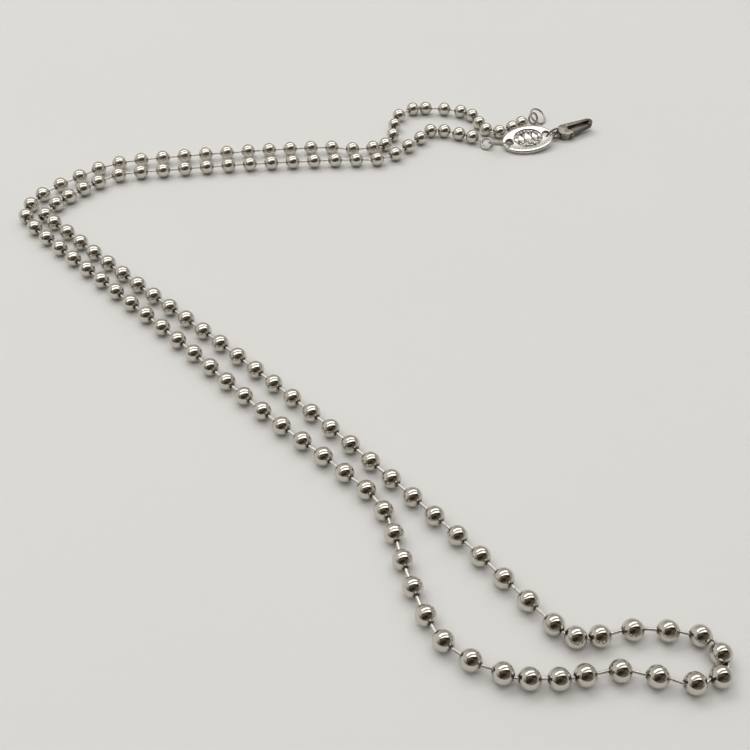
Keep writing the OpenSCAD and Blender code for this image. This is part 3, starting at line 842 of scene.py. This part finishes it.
lever_t = SLOT_T - 2 * LEVER_PLAY
lever = taper("lever", pivot_at, lever_tip_at, LEVER_ROOT_R, LEVER_TIP_R, lever_t)
nub = taper("nub", pivot_at, Vector((pivot_at.x + NUB_SHIFT, -CLASP_ROOT_R, 0)),
            NUB_R, NUB_R, lever_t)
bar = thin_to_tip(taper("bar", pivot_at, lever_tip_at, LEVER_ROOT_R, LEVER_TIP_R, through),
                  BAR_INSET)
solid_of("INTERSECT", bar, block("bar_end", (gate_from + LEVER_EDGE, -CLASP_ROOT_R, -through),
                                 (CLASP_L, CLASP_ROOT_R, through)))
solid_of("UNION", lever, nub, bar)
soften(lever, LEVER_BEVEL, segments=3, angle=40)
# The lever gets more painted shade than the hook
finish_clasp_piece(lever, "lever", "clasp_lever", at_root=0.55, at_tip=0.8)


# Rivet
# The steel pin that the lever turns on. It runs through both cheeks, and its two ends are
# spread into low domes over them.

RIVET_SIDES, RIVET_DOME = 24, 0.06 * MM
# A dome from its top down: share of its height, share of the rivet's width
DOME_PROFILE = [(1, 0.5), (1 / 3, 0.9), (0, 1)]

dome = [(CLASP_T / 2 + rise * RIVET_DOME, wide * RIVET_D / 2) for rise, wide in DOME_PROFILE]
rivet = turned("lever_rivet", RIVET_SIDES,
               [(-height, radius) for height, radius in dome] + dome[::-1])
rivet.location = pivot_at
finish_clasp_piece(settle(rivet), "necklace", "clasp_rivet")


# Surface, light and camera
# A plain pale table in a light room, under two long soft lamps, one overhead and one beyond the
# chain. A dim, patchy glowing card at the camera is a painted dark reflection: it shows only in
# the metal, as a dark middle.

TABLE_SIZE, TABLE_PALE, TABLE_PALER = 6, (0.682, 0.674, 0.655), (0.697, 0.689, 0.67)
ROOM_WHITE, ROOM_DIM = (1.0, 0.975, 0.93), (0.95, 0.89, 0.82)
# How light the room is, how much more on the left and less on the right, and how uneven
ROOM_LIGHT, LEFT_LIGHTER, RIGHT_DARKER, ROOM_UNEVEN = 0.44, 0.22, 0.02, 0.12
# How light its dim part is, and how uneven
DIM_LIGHT, DIM_UNEVEN = 0.12, 0.1
# Where these parts of the room start and are full, as directions from -1 to 1
ON_LEFT, ON_RIGHT, ON_CAMERA_SIDE, LOW_DOWN = (-0.2, -0.8), (0.2, 0.8), (-0.1, -0.6), (0.75, 0.5)
# The two long lamps: (how far beyond the middle of the chain, width), and what they share
TUBES = [(-0.05, 0.36), (0.8, 0.44)]
TUBE_X, TUBE_Z, TUBE_L, TUBE_TURN, WATTS_PER_M = 0.06, 1.05, 2.2, radians(24), 12.5
KEY_AT, KEY_SIZE, KEY_WATTS = Vector((-0.5, 0.5, 0.9)), (0.8, 0.8), 2.6
# The glowing card of the painted dark reflection: its place, turn, size and colours
CARD_AT, CARD_TURN, CARD_SIZE = (0.14, 0.035, 0.01), radians(16), (0.52, 0.2, 1)
REFLECTION_BLACK, REFLECTION_BROWN = (0.02, 0.015, 0.01), (0.14, 0.115, 0.085)
CAMERA_AT = Vector((11.72, -133.8, 110.53)) * MM
CAMERA_DOWN, CAMERA_ROLL = radians(43.51), radians(-1.8746)
# The lens as a distance in pixels of the photograph
LENS_PX, PHOTO_PX, SENSOR, CAMERA_REACH = 953.74, 750, 36, (0.005, 20)

floor = start(bpy.ops.mesh.primitive_plane_add, "table", size=TABLE_SIZE)
table = Finish(bpy.data.materials.new("pale_table"))
floor.data.materials.append(table.surface(
    Base_Color=table.blend(table.spots(60 * MM), TABLE_PALE, TABLE_PALER),
    Roughness=0.6,
    Normal=table.node("Bump", Strength=0.05, Distance=0.05 * MM, Height=table.spots(0.8 * MM)),
))

room = Finish(bpy.context.scene.world or bpy.data.worlds.new("room"))
bpy.context.scene.world = room.owner
sky = room.node("TexCoord", output="Generated")
right, beyond, up = (room.node("SeparateXYZ", output=axis, Vector=sky) for axis in "XYZ")
clutter = room.node("TexNoise", Vector=sky, Scale=3.0, Detail=3.0, Roughness=0.6)
dim = room.ramp(beyond, *ON_CAMERA_SIDE) * room.ramp(up, *LOW_DOWN)
bright = (ROOM_LIGHT + LEFT_LIGHTER * room.ramp(right, *ON_LEFT)
          - RIGHT_DARKER * room.ramp(right, *ON_RIGHT) + ROOM_UNEVEN * (clutter - 0.5))
room.node("OutputWorld", Surface=room.node(
    "Background", Color=room.blend(dim, ROOM_WHITE, ROOM_DIM),
    Strength=bright * (1 - dim) + dim * (DIM_LIGHT + DIM_UNEVEN * clutter)))


def lamp(name, at, aim, size, power):
    """A flat soft lamp that shines in the direction of aim."""
    bpy.ops.object.light_add(type="AREA", location=at)
    light = bpy.context.object
    light.name = name
    light.data.shape, light.data.energy = "RECTANGLE", power
    light.data.size, light.data.size_y = size
    light.rotation_mode = "QUATERNION"
    light.rotation_quaternion = Vector(aim).to_track_quat("-Z", "Y")
    return light


for away, wide in TUBES:
    tube = lamp("tube", (TUBE_X, away, TUBE_Z), (0, -away, -TUBE_Z), (TUBE_L, wide),
                WATTS_PER_M * wide)
    tube.rotation_quaternion = Quaternion((0, 0, 1), TUBE_TURN) @ tube.rotation_quaternion
lamp("soft_key", KEY_AT, -KEY_AT, KEY_SIZE, KEY_WATTS).visible_glossy = False

bpy.ops.object.camera_add()
camera = bpy.context.object
camera.matrix_world = (Matrix.Translation(CAMERA_AT)
                       @ Matrix.Rotation(pi / 2 - CAMERA_DOWN, 4, "X")
                       @ Matrix.Rotation(-CAMERA_ROLL, 4, "Z"))
camera.data.sensor_width = SENSOR
camera.data.lens = LENS_PX / PHOTO_PX * SENSOR
camera.data.clip_start, camera.data.clip_end = CAMERA_REACH
bpy.context.scene.camera = camera
bpy.context.scene.view_settings.view_transform = "Standard"

# A glowing card at the camera, a painted dark reflection that shows only in the metal
flag = start(bpy.ops.mesh.primitive_plane_add, "camera_flag", size=1)
flag.matrix_world = (camera.matrix_world @ Matrix.Translation(CARD_AT)
                     @ Matrix.Rotation(CARD_TURN, 4, "Z") @ Matrix.Diagonal((*CARD_SIZE, 1)))
flag.visible_camera = flag.visible_diffuse = flag.visible_shadow = False
reflection_card = Finish(bpy.data.materials.new("painted_dark_reflection"))
reflection_patches = reflection_card.spots(0.35, detail=3, stretch=(1, 0.6, 1))
flag.data.materials.append(reflection_card.surface(
    Base_Color=(0, 0, 0), Specular_IOR_Level=0.0, Emission_Strength=1.0,
    Emission_Color=reflection_card.blend(reflection_card.ramp(reflection_patches, 0.42, 0.62), REFLECTION_BLACK, REFLECTION_BROWN)))
